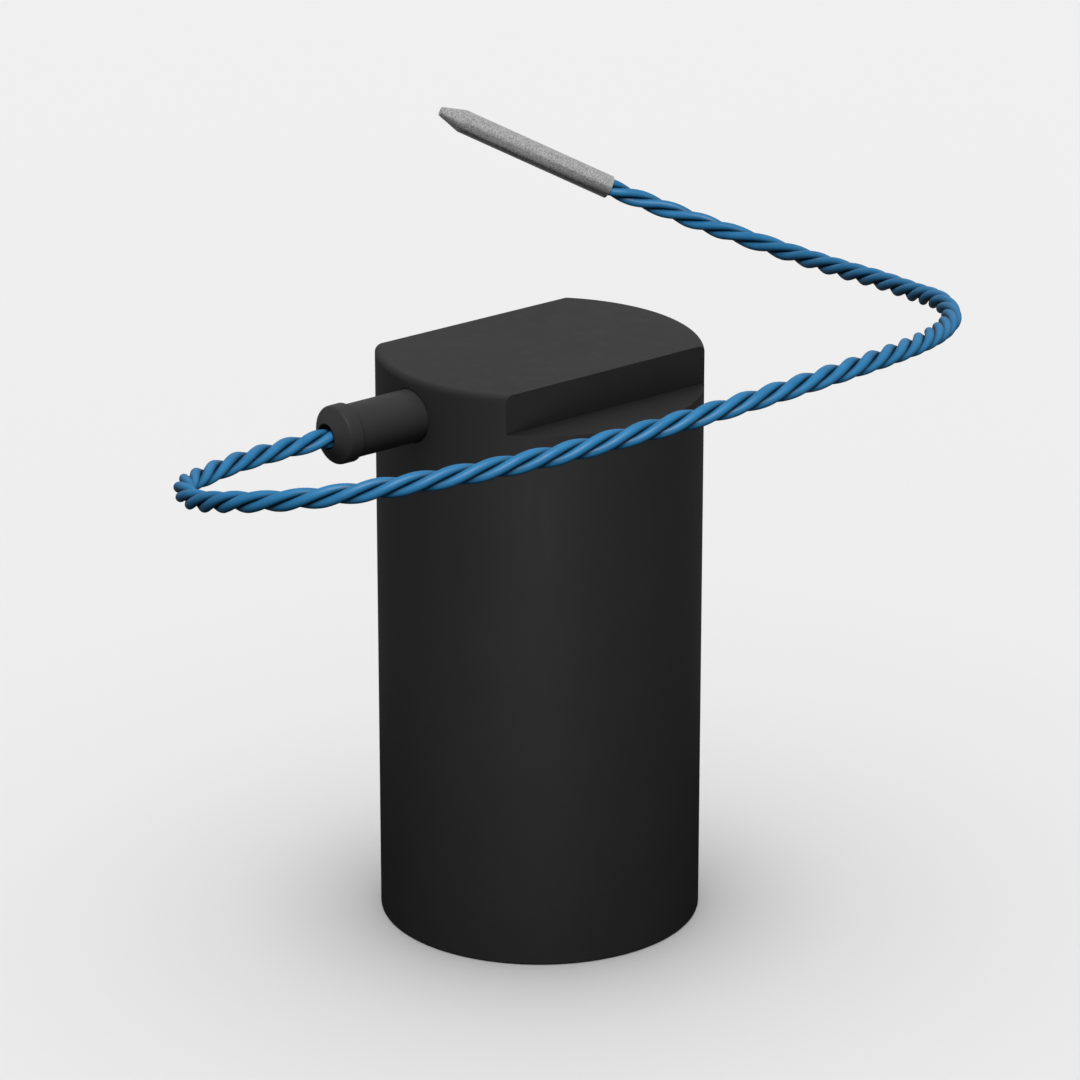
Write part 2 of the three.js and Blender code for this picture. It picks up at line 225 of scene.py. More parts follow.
def plated(name, color, rough_low, rough_high):
    """Plated or drawn metal with fine handling marks."""
    p = Paint(name, color, rough_low, metallic=1.0)
    grain = 0.0004
    tone = p.noise(0.002, 3.0)
    dull = tuple(0.78 * c for c in color)
    p.color(p.blend(p.levels(tone, *NOISE_SPAN), dull, color))
    p.rough(p.noise(grain, 4.0), rough_low, rough_high)
    p.bump(p.noise(grain, 3.0), 0.000003, 0.4)
    return p.material


def rubber(name, color):
    """Matt rubber with a faint paler bloom."""
    p = Paint(name, color, 0.75, specular=0.25)
    bloom = tuple(1.8 * c for c in color)
    p.color(p.blend(p.levels(p.noise(0.0012, 3.0), 0.35, 0.7), color, bloom))
    p.rough(p.noise(0.0006, 3.0), 0.62, 0.85)
    p.bump(p.noise(0.00025, 3.0), 0.00001, 0.6)
    return p.material


def resin(name, dark, light):
    """Cured potting: glossy, faintly cloudy, with small trapped bubbles."""
    p = Paint(name, dark, 0.2, specular=0.5, coat=0.3)
    p.color(p.blend(p.levels(p.noise(0.0015, 4.0), 0.35, 0.7), dark, light))
    bubbles = p.node("ShaderNodeTexVoronoi", {"Vector": p.coords, "Scale": 1 / 0.0007})
    p.rough(p.noise(0.0008), 0.16, 0.3)
    p.bump(p.levels(bubbles.outputs["Distance"], 0.0, 0.25), 0.00002, 0.4)
    return p.material


def circuit(name, resist, copper_under, pads):
    """Solder resist over a grid of tracks, with tinned pads."""
    p = Paint(name, resist, 0.35, specular=0.5, coat=0.2)
    tracks = p.node("ShaderNodeTexBrick", {
        "Vector": p.node("ShaderNodeMapping", {
            "Vector": p.coords,
            "Rotation": (math.radians(90), 0, 0),
        }).outputs["Vector"],
        "Scale": 1 / 0.006,
        "Mortar Size": 0.012,
        "Mortar Smooth": 0.1,
        "Color1": (0, 0, 0, 1),
        "Color2": (0, 0, 0, 1),
        "Mortar": (1, 1, 1, 1),
    }).outputs["Color"]
    under = p.blend(tracks, resist, copper_under)
    dots = p.node("ShaderNodeTexVoronoi", {
        "Vector": p.coords,
        "Scale": 1 / 0.0034,
        "Randomness": 0.35,
    })
    pad = p.levels(dots.outputs["Distance"], 0.13, 0.11)
    p.color(p.blend(pad, under, pads))
    p.rough(p.noise(0.0012), 0.28, 0.42)
    p.bump(tracks, 0.00003, 0.6)
    return p.material


def sleeve(name, body, band, low, high):
    """A printed shrink sleeve with a paler band between two heights in metres."""
    p = Paint(name, body, 0.35, specular=0.5, coat=0.25)
    height = p.node("ShaderNodeSeparateXYZ", {"Vector": p.coords}).outputs["Z"]
    over = p.node("ShaderNodeMath", {0: height, 1: low}, operation="GREATER_THAN").outputs[0]
    under = p.node("ShaderNodeMath", {0: height, 1: high}, operation="LESS_THAN").outputs[0]
    inside = p.node("ShaderNodeMath", {0: over, 1: under}, operation="MULTIPLY").outputs[0]
    printed = p.blend(inside, body, band)
    scuffs = p.levels(p.noise(0.003, 3.0), *NOISE_SPAN, 0.0, 0.25)
    scuffed = tuple(0.6 * c for c in body)
    p.color(p.blend(scuffs, printed, scuffed))
    p.rough(p.noise(0.0015), 0.28, 0.45)
    p.bump(p.noise(0.001, 3.0), 0.00001, 0.5)
    return p.material


HOUSING_DARK, HOUSING_LIGHT = (0.0187, 0.0187, 0.019), (0.0203, 0.0203, 0.0206)
SPIGOT_DARK, SPIGOT_LIGHT = (0.0205, 0.0205, 0.0208), (0.0245, 0.0245, 0.0248)
HOUSING = moulded("housing_plastic", HOUSING_DARK, HOUSING_LIGHT, 0.52, 0.62)
SPIGOT = moulded("spigot_plastic", SPIGOT_DARK, SPIGOT_LIGHT, 0.46, 0.6)
CARRIER = moulded("carrier_plastic", (0.24, 0.245, 0.25), (0.3, 0.305, 0.31), 0.5, 0.65)
BLUE = insulation("wire_blue", (0.0072, 0.0625, 0.136), (0.0098, 0.0755, 0.162))
RED = insulation("wire_red", (0.36, 0.016, 0.014), (0.45, 0.024, 0.02))
BLACK = insulation("wire_black", (0.012, 0.012, 0.012), (0.02, 0.02, 0.02))
PIN = blasted_metal("pin_steel", (0.37, 0.37, 0.368), (0.93, 0.93, 0.925))
NICKEL = plated("nickel", (0.62, 0.59, 0.54), 0.16, 0.34)
TINNED = plated("tinned_steel", (0.58, 0.58, 0.58), 0.22, 0.42)
COPPER = plated("copper", (0.78, 0.36, 0.18), 0.2, 0.4)
RUBBER = rubber("seal_rubber", (0.009, 0.009, 0.009))
POTTING = resin("potting", (0.012, 0.016, 0.02), (0.022, 0.028, 0.034))
BEAD = resin("bead", (0.16, 0.045, 0.018), (0.24, 0.08, 0.03))
BOARD = circuit("board", (0.008, 0.085, 0.032), (0.02, 0.17, 0.06), (0.55, 0.53, 0.48))
CHIP = moulded("chip", (0.011, 0.011, 0.011), (0.018, 0.018, 0.018), 0.42, 0.55)
BLOCK = moulded("block_green", (0.022, 0.15, 0.06), (0.03, 0.2, 0.085), 0.4, 0.52)
CELL = sleeve("cell_wrap", (0.02, 0.07, 0.22), (0.5, 0.5, 0.48), low=0.028, high=0.0375)

# ---- mesh helpers ---------------------------------------------------------------------


def crisp(bm):
    """Smooth faces, with every edge that turns hard kept sharp."""
    bm.normal_update()
    for face in bm.faces:
        face.smooth = True
    for edge in bm.edges:
        edge.smooth = not (edge.is_manifold and edge.calc_face_angle(0) > SHARP)


def piece(name, bm, material, body, nodes):
    """Turns a bmesh into a piece that rides on a body and stands for the CAD nodes."""
    bmesh.ops.recalc_face_normals(bm, faces=bm.faces)
    crisp(bm)
    mesh = bpy.data.meshes.new(name)
    bm.to_mesh(mesh)
    bm.free()
    mesh.materials.append(material)
    obj = bpy.data.objects.new(name, mesh)
    bpy.context.scene.collection.objects.link(obj)
    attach(obj, body)
    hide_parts(*nodes)
    return obj


def rounded(profile, closed=False, steps=6):
    """A profile of (radius, height, fillet) corners in millimetres, each corner made an arc."""
    points = []
    count = len(profile)
    for i, (r, z, fillet) in enumerate(profile):
        here = Vector((r, z))
        if fillet == 0 or (not closed and i in (0, count - 1)):
            points.append(here)
            continue
        before = Vector(profile[i - 1][:2]) - here
        after = Vector(profile[(i + 1) % count][:2]) - here
        half = before.angle(after) / 2
        reach = fillet / math.tan(half)
        inward = (before.normalized() + after.normalized()).normalized()
        middle = here + inward * (fillet / math.sin(half))
        start = here + before.normalized() * reach - middle
        end = here + after.normalized() * reach - middle
        for k in range(steps + 1):
            mixed = start.slerp(end, k / steps)
            points.append(middle + mixed.normalized() * fillet)
    return [(p.x * MM, p.y * MM) for p in points]


def lathe(profile, segments, closed=False, place=Matrix.Identity(4)):
    """A turned solid about +Z from (radius, height) pairs in metres."""
    bm = bmesh.new()
    rings = []
    for r, z in profile:
        if r < ON_AXIS:
            rings.append([bm.verts.new((0, 0, z))])
            continue
        turns = (2 * math.pi * k / segments for k in range(segments))
        rings.append([bm.verts.new((r * math.cos(t), r * math.sin(t), z)) for t in turns])
    pairs = list(zip(rings, rings[1:]))
    if closed:
        pairs.append((rings[-1], rings[0]))
    for low, high in pairs:
        for k in range(segments):
            n = (k + 1) % segments
            corners = [
                low[k % len(low)], low[n % len(low)],
                high[n % len(high)], high[k % len(high)],
            ]
            bm.faces.new(list(dict.fromkeys(corners)))
    bm.transform(place)
    return bm


def box(low, high):
    """A box between two corners in millimetres."""
    bm = bmesh.new()
    bmesh.ops.create_cube(bm, size=1)
    size = [(h - l) * MM for l, h in zip(low, high)]
    middle = [(h + l) / 2 for l, h in zip(low, high)]
    bm.transform(Matrix.Translation(Vector(middle) * MM) @ Matrix.Diagonal((*size, 1)))
    return bm


def wedge(inner, outer, centre, half, low, high):
    """A sector of a ring about +Z, radii and heights in millimetres, angles in degrees."""
    steps = 14
    bm = bmesh.new()
    rows = []
    for k in range(steps + 1):
        turn = math.radians(centre - half + 2 * half * k / steps)
        row = []
        for r, z in ((inner, low), (outer, low), (outer, high), (inner, high)):
            corner = Vector((r * math.cos(turn), r * math.sin(turn), z)) * MM
            row.append(bm.verts.new(corner))
        rows.append(row)
    for a, b in zip(rows, rows[1:]):
        for k in range(4):
            n = (k + 1) % 4
            bm.faces.new([a[k], a[n], b[n], b[k]])
    bm.faces.new(rows[0])
    bm.faces.new(rows[-1])
    return bm


def rod(radius, low, high, segments, place=Matrix.Identity(4)):
    """A plain cylinder about +Z, in millimetres."""
    profile = [(0, low * MM), (radius * MM, low * MM), (radius * MM, high * MM), (0, high * MM)]
    return lathe(profile, segments, place=place)


def torus(radius, section, height, place=Matrix.Identity(4)):
    """A ring of round section about +Z, in millimetres."""
    profile = []
    for k in range(20):
        a = 2 * math.pi * k / 20
        profile.append(((radius + section * math.cos(a)) * MM, (height + section * math.sin(a)) * MM))
    return lathe(profile, 128, closed=True, place=place)


def soft_edge(obj, width, segments):
    """A modifier that rounds the hard edges of obj by width millimetres."""
    edge = obj.modifiers.new("edge", "BEVEL")
    edge.width = width * MM
    edge.segments = segments
    edge.limit_method = "ANGLE"
    edge.angle_limit = HARD_EDGE
    return edge


def carve(base, add=(), cut=(), bevel=0.12):
    """base with shapes joined and cut, then every hard edge rounded by bevel millimetres."""
    made = []

    def temporary(bm):
        bmesh.ops.recalc_face_normals(bm, faces=bm.faces)
        mesh = bpy.data.meshes.new("temporary")
        bm.to_mesh(mesh)
        bm.free()
        obj = bpy.data.objects.new("temporary", mesh)
        bpy.context.scene.collection.objects.link(obj)
        made.append(obj)
        return obj

    body = temporary(base)
    for operation, shapes in (("UNION", add), ("DIFFERENCE", cut)):
        for shape in shapes:
            step = body.modifiers.new(operation, "BOOLEAN")
            step.operation = operation
            step.solver = "EXACT"
            step.object = temporary(shape)
    edge = soft_edge(body, bevel, 3)
    edge.miter_outer = "MITER_ARC"
    evaluated = body.evaluated_get(bpy.context.evaluated_depsgraph_get())
    result = bmesh.new()
    result.from_mesh(evaluated.to_mesh())
    evaluated.to_mesh_clear()
    for obj in made:
        bpy.data.objects.remove(obj)
    bmesh.ops.remove_doubles(result, verts=result.verts, dist=WELD)
    return result


def spline(points, spacing):
    """A dense centripetal curve in metres, through points in millimetres."""
    route = [Vector(p) * MM for p in points]
    dense = []
    for i in range(len(route) - 1):
        p1, p2 = route[i], route[i + 1]
        p0 = route[i - 1] if i else 2 * p1 - p2
        p3 = route[i + 2] if i + 2 < len(route) else 2 * p2 - p1
        d0, d1, d2 = (math.sqrt((b - a).length) for a, b in ((p0, p1), (p1, p2), (p2, p3)))
        t1 = ((p1 - p0) / d0 - (p2 - p0) / (d0 + d1) + (p2 - p1) / d1) * d1
        t2 = ((p2 - p1) / d1 - (p3 - p1) / (d1 + d2) + (p3 - p2) / d2) * d1
        steps = max(2, round((p2 - p1).length / spacing))
        square = 3 * (p2 - p1) - 2 * t1 - t2
        cube = 2 * (p1 - p2) + t1 + t2
        for k in range(steps):
            t = k / steps
            dense.append(p1 + t1 * t + square * t**2 + cube * t**3)
    return [*dense, route[-1]]


def lengths_along(points):
    """The distance along the line at each point."""
    total = [0.0]
    for a, b in zip(points, points[1:]):
        total.append(total[-1] + (b - a).length)
    return total


def tangents(points):
    """The line's direction at each point."""
    ends = [points[0], *points, points[-1]]
    return [(b - a).normalized() for a, b in zip(ends, ends[2:])]


def carried_frames(points, start_up):
    """The direction and a normal at each point, the normal carried along without twist."""
    along = tangents(points)
    up = start_up
    normals = []
    for t in along:
        up = (up - t * up.dot(t)).normalized()
        normals.append(up)
    return along, normals


def sweep(bm, points, radius, sides=20):
    """A round tube with domed ends along a dense line."""
    along, normals = carried_frames(points, Vector((0, 0.3, 1)))
    dome = 4
    bulge = radius * 0.4
    rows = []

    def ring(centre, t, n, r):
        b = t.cross(n)
        turns = (2 * math.pi * k / sides for k in range(sides))
        rows.append([bm.verts.new(centre + (n * math.cos(a) + b * math.sin(a)) * r) for a in turns])

    for k in range(1, dome):
        a = math.pi / 2 * k / dome
        centre = points[0] - along[0] * bulge * math.cos(a)
        ring(centre, along[0], normals[0], radius * math.sin(a))
    for centre, t, n in zip(points, along, normals):
        ring(centre, t, n, radius)
    for k in range(dome - 1, 0, -1):
        a = math.pi / 2 * k / dome
        centre = points[-1] + along[-1] * bulge * math.cos(a)
        ring(centre, along[-1], normals[-1], radius * math.sin(a))
    for a, b in zip(rows, rows[1:]):
        for k in range(sides):
            n = (k + 1) % sides
            bm.faces.new([a[k], a[n], b[n], b[k]])
    tips = (points[0] - along[0] * bulge, points[-1] + along[-1] * bulge)
    for row, centre in zip((rows[0], rows[-1]), tips):
        tip = bm.verts.new(centre)
        for k in range(sides):
            bm.faces.new([row[k], row[(k + 1) % sides], tip])


# ---- lead -----------------------------------------------------------------------------

LEAD_ROUTE = [
    (-26.2, 0, 68.5), (-31.7, 0, 68.5), (-37.5, -0.1, 68.6), (-43.9, -1.4, 69.1),
    (-50.0, -3.5, 69.7), (-54.2, -5.6, 70.2), (-57.5, -7.6, 70.8), (-60.2, -10.4, 71.3),
    (-61.8, -13.6, 71.6), (-62.6, -17.5, 72.4), (-62.6, -22.7, 73.8), (-61.0, -28.0, 75.0),
    (-57.6, -33.5, 76.3), (-51.1, -38.5, 77.5), (-43.1, -42.6, 78.5), (-34.5, -45.9, 79.5),
    (-25.2, -48.5, 80.6), (-16.2, -50.0, 81.4), (-6.1, -50.4, 81.9), (3.8, -49.5, 81.9),
    (14.4, -46.5, 81.0), (24.3, -42.0, 79.6), (32.8, -36.4, 78.0), (38.5, -31.6, 77.2),
    (43.3, -24.7, 76.3), (48.1, -15.0, 74.2), (51.9, -4.6, 72.5), (54.8, 6.1, 70.9),
    (56.9, 16.1, 69.8), (56.8, 24.8, 69.8), (54.2, 33.0, 71.0), (51.0, 38.4, 72.7),
    (48.8, 40.4, 73.8), (46.3, 41.9, 75.1),
]
PIN_TIP = Vector((26.7, 53.4, 86.6))
STRAND_RADIUS = 0.000578
STRAND_OFFSET = 0.000672  # from the lead's axis to each strand's
LAY_PITCH = 0.0133
# (distance along the lead in metres, part of a turn): where the lay runs ahead of its even pitch
LAY_DRIFT = [
    (0, 0.12), (0.0097, 0.125), (0.0188, 0.154), (0.0283, 0.213), (0.0526, -0.043),
    (0.0616, -0.031), (0.137, -0.033), (0.173, -0.06), (0.187, -0.11), (0.208, 0.042),
    (0.2236, 0.25), (0.2327, 0.404), (0.26, 0.408),
]
LAY_START = 0.5  # part of a turn
PIN_GAP = 0.3  # from the route's last point to the pin's mouth
INTO_PIN = 1.9  # how far the strands run into the pin's mouth

lead_end = Vector(LEAD_ROUTE[-1])
pin_axis = (PIN_TIP - lead_end).normalized()
pin_base = lead_end + pin_axis * PIN_GAP


def drift(distance):
    """Part of a turn that the lay is ahead by, at a distance along the lead."""
    for (s0, v0), (s1, v1) in zip(LAY_DRIFT, LAY_DRIFT[1:]):
        if distance <= s1:
            t = (distance - s0) / (s1 - s0)
            return v0 + (v1 - v0) * t
    return LAY_DRIFT[-1][1]


centreline = spline([*LEAD_ROUTE, tuple(pin_base + pin_axis * INTO_PIN)], 0.0004)
distances = lengths_along(centreline)
along, normals = carried_frames(centreline, Vector((0, 0, 1)))
lead_mesh = bmesh.new()
for strand in range(3):
    line = []
    for point, distance, t, n in zip(centreline, distances, along, normals):
        turn = 2 * math.pi * (LAY_START - distance / LAY_PITCH + drift(distance) + strand / 3)
        line.append(point + (n * math.cos(turn) + t.cross(n) * math.sin(turn)) * STRAND_OFFSET)
    sweep(lead_mesh, line, STRAND_RADIUS)
lead = piece("lead_strands", lead_mesh, BLUE, "housing", ["lead"])

# ---- probe pin ------------------------------------------------------------------------

PIN_RADIUS = 1.55
PIN_TAPER = 3.2
PIN_TIP_RADIUS = 0.6
PIN_MOUTH = 1.32
PIN_BORE = 1.1
PIN_BORE_DEPTH = 20
pin_length = (PIN_TIP - lead_end).length - PIN_GAP
pin_place = Matrix.Translation(pin_base * MM) @ pin_axis.to_track_quat("Z", "Y").to_matrix().to_4x4()

sheath_profile = rounded([
    (PIN_MOUTH, 0, 0.04),
    (PIN_RADIUS, 0, 0.07),
    (PIN_RADIUS, pin_length - PIN_TAPER, 0.1),
    (PIN_TIP_RADIUS, pin_length, 0.03),
    (0, pin_length, 0),
], steps=4)
bore_profile = rounded([
    (0, PIN_BORE_DEPTH, 0),
    (PIN_BORE, PIN_BORE_DEPTH, 0.1),
    (PIN_BORE, 2.6, 0.02),
    (PIN_MOUTH, 2.4, 0.02),
    (PIN_MOUTH, 0, 0),
], steps=3)
sheath = lathe([*bore_profile, *sheath_profile[1:]], 96, place=pin_place)
sheath = piece("pin_sheath", sheath, PIN, "housing", ["probe_sheath"])

plug_profile = rounded([
    (0, 1.75, 0),
    (0.9, 1.85, 0.3),
    (1.26, 2.05, 0.1),
    (1.26, 2.35, 0.1),
    (1.0, 2.9, 0.1),
    (0, 2.9, 0),
])
plug = lathe(plug_profile, 48, place=pin_place)
plug = piece("pin_potting", plug, POTTING, "housing", ["probe_end_seal"])

BEAD_RADIUS = 0.7
BEAD_HALF_LENGTH = 0.78
BEAD_MIDDLE = 4
BEAD_STEPS = 16

bead_profile = []
for k in range(BEAD_STEPS + 1):
    turn = math.pi * k / BEAD_STEPS
    height = BEAD_MIDDLE + BEAD_HALF_LENGTH * -math.cos(turn)
    on_axis = k in (0, BEAD_STEPS)
    bead_profile.append((0 if on_axis else BEAD_RADIUS * MM * math.sin(turn), height * MM))
bead = lathe(bead_profile, 32, place=pin_place)
bead = piece("pin_thermistor", bead, BEAD, "housing", ["probe_thermistor"])

HEATER_RADIUS = 0.6
HEATER_WIRE = 0.15
HEATER_LOW = 6.2
HEATER_LENGTH = 11.6
HEATER_STEPS = 560
HEATER_STEPS_PER_TURN = 24

coil_line = []
for k in range(HEATER_STEPS + 1):
    turn = 2 * math.pi * k / HEATER_STEPS_PER_TURN
    height = HEATER_LOW + HEATER_LENGTH * k / HEATER_STEPS
    place = Vector((HEATER_RADIUS * math.cos(turn), HEATER_RADIUS * math.sin(turn), height)) * MM
    coil_line.append(pin_place @ place)
heater_mesh = bmesh.new()
sweep(heater_mesh, coil_line, HEATER_WIRE * MM, 10)
heater = piece("pin_heater", heater_mesh, COPPER, "housing", ["probe_heater"])

# ---- housing --------------------------------------------------------------------------

BODY_RADIUS = 20
BODY_HEIGHT = 73.4
FLAT = 12.7  # from the axis to a spanner flat
FLAT_LOW = BODY_HEIGHT - 4.8
BORE = 17.6
CEILING = 66.0  # inside the shell, except over the boards
POCKET = (14.5, 9.5)  # half the length and width of the hollow over the boards
TOP_WALL = 2
SPIGOT_HEIGHT = 68.65
SPIGOT_SEAT = (3.36, 18.6)  # radius, and where it starts from the body's axis
SEAL_SEAT = (3.54, 17.2, 18.7)  # radius, start and end
WIRE_PASSAGE = (2.5, 13, 18)
PAST = 1  # how far a cut or an added shape runs on past the surface it meets

spigot_place = Matrix.Translation((0, 0, SPIGOT_HEIGHT * MM)) @ Matrix.Rotation(-math.pi / 2, 4, "Y")
outline = rounded([
    (0, 0, 0),
    (BODY_RADIUS, 0, 0.25),
    (BODY_RADIUS, BODY_HEIGHT, 0.8),
    (0, BODY_HEIGHT, 0),
], steps=10)
LUGS = 3
LUG_SPREAD = 120  # degrees from lug to lug
LUG_RADIUS = 18.5
LUG_HALF = 7  # degrees
LUG_LOW, LUG_HIGH = 2, 3.8
CAP_TURN = 45  # degrees from locked to open
TRACK_LOW, TRACK_HIGH = 1.7, 4.1
SLOT_HIGH = 4.2
outside = BODY_RADIUS + PAST
cuts = [
    box((-outside, FLAT, FLAT_LOW), (outside, outside, BODY_HEIGHT + PAST)),
    box((-outside, -outside, FLAT_LOW), (outside, -FLAT, BODY_HEIGHT + PAST)),
    rod(BORE, -PAST, CEILING, 160),
    box((-POCKET[0], -POCKET[1], CEILING - PAST), (*POCKET, BODY_HEIGHT - TOP_WALL)),
    rod(*SPIGOT_SEAT, outside, 96, spigot_place),
    rod(*SEAL_SEAT, 96, spigot_place),
    rod(*WIRE_PASSAGE, 64, spigot_place),
]
for lug in range(LUGS):
    locked = LUG_SPREAD * lug
    opened = locked - CAP_TURN
    track_middle = (opened + locked + LUG_HALF) / 2
    track_half = (locked + LUG_HALF - opened) / 2
    track = (BORE - PAST, LUG_RADIUS + 0.3, track_middle, track_half, TRACK_LOW, TRACK_HIGH)
    slot = (BORE - PAST, LUG_RADIUS + 0.5, opened, LUG_HALF + 0.1, -PAST, SLOT_HIGH)
    cuts += [wedge(*track), wedge(*slot)]
shell = carve(lathe(outline, 192), cut=cuts, bevel=0.1)
piece("housing", shell, HOUSING, "housing", ["housing_shell"])

# ---- base cap -------------------------------------------------------------------------

CAP_RADIUS = 17.2
CAP_HEIGHT = 9
CAP_BORE = 13.5
CAP_FLOOR = 3
GROOVE_RADIUS = 15.7
GROOVE_LOW, GROOVE_HIGH = 5.6, 8.0
HOLE_RADIUS = 2
HOLE_DEPTH = 1.8
HOLE_PLACE = 9  # from the axis to each hole for a pin spanner

cap_profile = rounded([
    (0, 0, 0),
    (CAP_RADIUS, 0, 0.25),
    (CAP_RADIUS, GROOVE_LOW, 0.1),
    (GROOVE_RADIUS, GROOVE_LOW, 0.15),
    (GROOVE_RADIUS, GROOVE_HIGH, 0.15),
    (CAP_RADIUS, GROOVE_HIGH, 0.1),
    (CAP_RADIUS, CAP_HEIGHT, 0.2),
    (CAP_BORE, CAP_HEIGHT, 0.2),
    (CAP_BORE, CAP_FLOOR, 0.5),
    (0, CAP_FLOOR, 0),
], steps=4)
lugs = []
for lug in range(LUGS):
    lugs.append(wedge(CAP_RADIUS - PAST, LUG_RADIUS, LUG_SPREAD * lug, LUG_HALF, LUG_LOW, LUG_HIGH))
holes = []
for side in (-1, 1):
    place = Matrix.Translation((side * HOLE_PLACE * MM, 0, 0))
    holes.append(rod(HOLE_RADIUS, -PAST, HOLE_DEPTH, 48, place))
cap = carve(lathe(cap_profile, 160), add=lugs, cut=holes)
piece("base_closure", cap, HOUSING, "cap", ["base_cap"])
piece("base_seal", torus(16.65, 0.65, 6.8), RUBBER, "cap", ["base_cap_oring"])

# ---- spigot ---------------------------------------------------------------------------

spigot_profile = rounded([
    (1.58, 12.9, 0.1),
    (2.2, 12.9, 0.1),
    (2.2, 18.9, 0.05),
    (3.24, 18.9, 0.15),
    (3.24, 29.2, 0.25),
    (3.58, 29.5, 0.2),
    (3.56, 31.3, 0.5),
    (1.72, 32.42, 0.06),
    (1.58, 32.45, 0.06),
], closed=True, steps=5)
spigot = lathe(spigot_profile, 128, closed=True, place=spigot_place)
piece("lead_spigot", spigot, SPIGOT, "housing", ["spigot"])
seal = torus(2.85, 0.35, 18.05, spigot_place)
piece("spigot_seal", seal, RUBBER, "housing", ["spigot_oring"])

# ---- inside ---------------------------------------------------------------------------

CELL_CENTRE = 6.3  # the cell's axis lies this far behind the housing's
ANTENNA_PLACE = (10.2, -7.6)


def wound(wire_radius, low_radius, high_radius, low, height, turns, centre):
    """Wire wound upwards round centre, in millimetres; two radii make a cone."""
    steps = round(turns * 40)
    line = []
    for k in range(steps + 1):
        t = k / steps
        r = low_radius + (high_radius - low_radius) * t
        a = 2 * math.pi * turns * t
        x, y = centre[0] + r * math.cos(a), centre[1] + r * math.sin(a)
        line.append(Vector((x, y, low + height * t)) * MM)
    bm = bmesh.new()
    sweep(bm, line, wire_radius * MM, 14)
    return bm


spring = wound(0.35, 5.2, 3, low=12.2, height=2.6, turns=2.5, centre=(0, CELL_CENTRE))
piece("cell_spring", spring, NICKEL, "housing", ["battery_spring"])
antenna = wound(0.3, 1.8, 1.8, low=49.5, height=10.5, turns=6, centre=ANTENNA_PLACE)
piece("radio_antenna", antenna, COPPER, "housing", ["antenna"])

cell_profile = rounded([
    (0, 15.5, 0),
    (6.2, 15.5, 0.1),
    (6.6, 15.7, 0.1),
    (7.2, 15.5, 0.1),
    (8.5, 15.5, 0.6),
    (8.5, 49.0, 0.7),
    (6.4, 49.0, 0.15),
    (6.1, 48.7, 0.1),
    (4.2, 48.7, 0.1),
    (3.1, 49.0, 0.1),
    (3.1, 50.0, 0.3),
    (0, 50.0, 0),
], steps=4)
cell_place = Matrix.Translation((0, CELL_CENTRE * MM, 0))
cell = lathe(cell_profile, 96, place=cell_place)
piece("cell", cell, CELL, "housing", ["battery_cell"])

# Materials for the CAD pieces that are fine enough as they are
LOOKS = {
    "lead_seal": POTTING,
    "carrier": CARRIER,
    "circuit_board": BOARD,
    "radio_board": BOARD,
    "radio_shield": TINNED,
    "microcontroller": CHIP,
    "crystal": TINNED,
    "supply_capacitor": TINNED,
    "terminal_block": BLOCK,
    "terminal_screw_1": NICKEL,
    "terminal_screw_2": NICKEL,
    "terminal_screw_3": NICKEL,
    "inner_wire_1": BLUE,
    "inner_wire_2": BLUE,
    "inner_wire_3": BLUE,
    "battery_contact": NICKEL,
    "battery_wire_positive": RED,
    "battery_wire_negative": BLACK,
}
SOFT_EDGED = ("carrier", "radio_shield", "microcontroller", "crystal", "terminal_block")
for name, material in LOOKS.items():
    node = frame["nodes"][name]
    node.data.materials.clear()
    node.data.materials.append(material)
    if name in SOFT_EDGED:
        soft_edge(node, 0.1, 2)

# ---- floor and light ------------------------------------------------------------------

# Painted shade: the floor's colour is a little darker near the object than far from it
FLOOR_NEAR_SHADED = (0.808,) * 3
FLOOR_FAR = (0.815,) * 3
# Painted shadow: the floor's colour where it meets the object
FLOOR_CONTACT_SHADOW = tuple(0.7 * tone for tone in FLOOR_NEAR_SHADED)


def disc(name, radius, segments, material):
    """A level disc of the stage, which is no part of the object."""
    bm = bmesh.new()
    bmesh.ops.create_circle(bm, cap_ends=True, segments=segments, radius=radius)
    mesh = bpy.data.meshes.new(name)
    bm.to_mesh(mesh)
    bm.free()
    mesh.materials.append(material)
    obj = bpy.data.objects.new(name, mesh)
    bpy.context.scene.collection.objects.link(obj)
    return obj


def floor_paint():
    """Pale matt floor with painted shade: a little darker near the object, and darkest in a painted
    contact shadow where the two meet.
    """
    p = Paint("floor_paint", FLOOR_FAR, 0.9, specular=0.0)
    away = p.node("ShaderNodeVectorMath", {0: p.coords}, operation="LENGTH").outputs["Value"]
    plain = p.blend(p.levels(away, 0.08, 0.45), FLOOR_NEAR_SHADED, FLOOR_FAR)
    # Painted contact shadow: darker where the object hems the floor in
    p.color(p.blend(p.occlusion_for_painted_shade(0.02, alone=False), FLOOR_CONTACT_SHADOW, plain))
    return p.material


floor = disc("floor", 30, 96, floor_paint())
floor.visible_diffuse = False
floor.visible_glossy = False
floor.visible_shadow = False

# The floor lets light through, so a black disc just under it keeps the dim light from below off
# the foot of the object
under_shade = disc("under_shade", 0.075, 64, Paint("under_shade", (0, 0, 0), 1, specular=0).material)
under_shade.location.z = -0.0002
under_shade.visible_camera = False

# (0 straight down to 1 straight up, brightness): below the horizon lies a dim reflected floor
SKY_TONES = [(0, 0.12), (0.485, 0.38), (0.51, 1), (1, 1)]
SKY_STRENGTH = 0.583
BACKDROP = (0.86, 0.86, 0.86, 1)

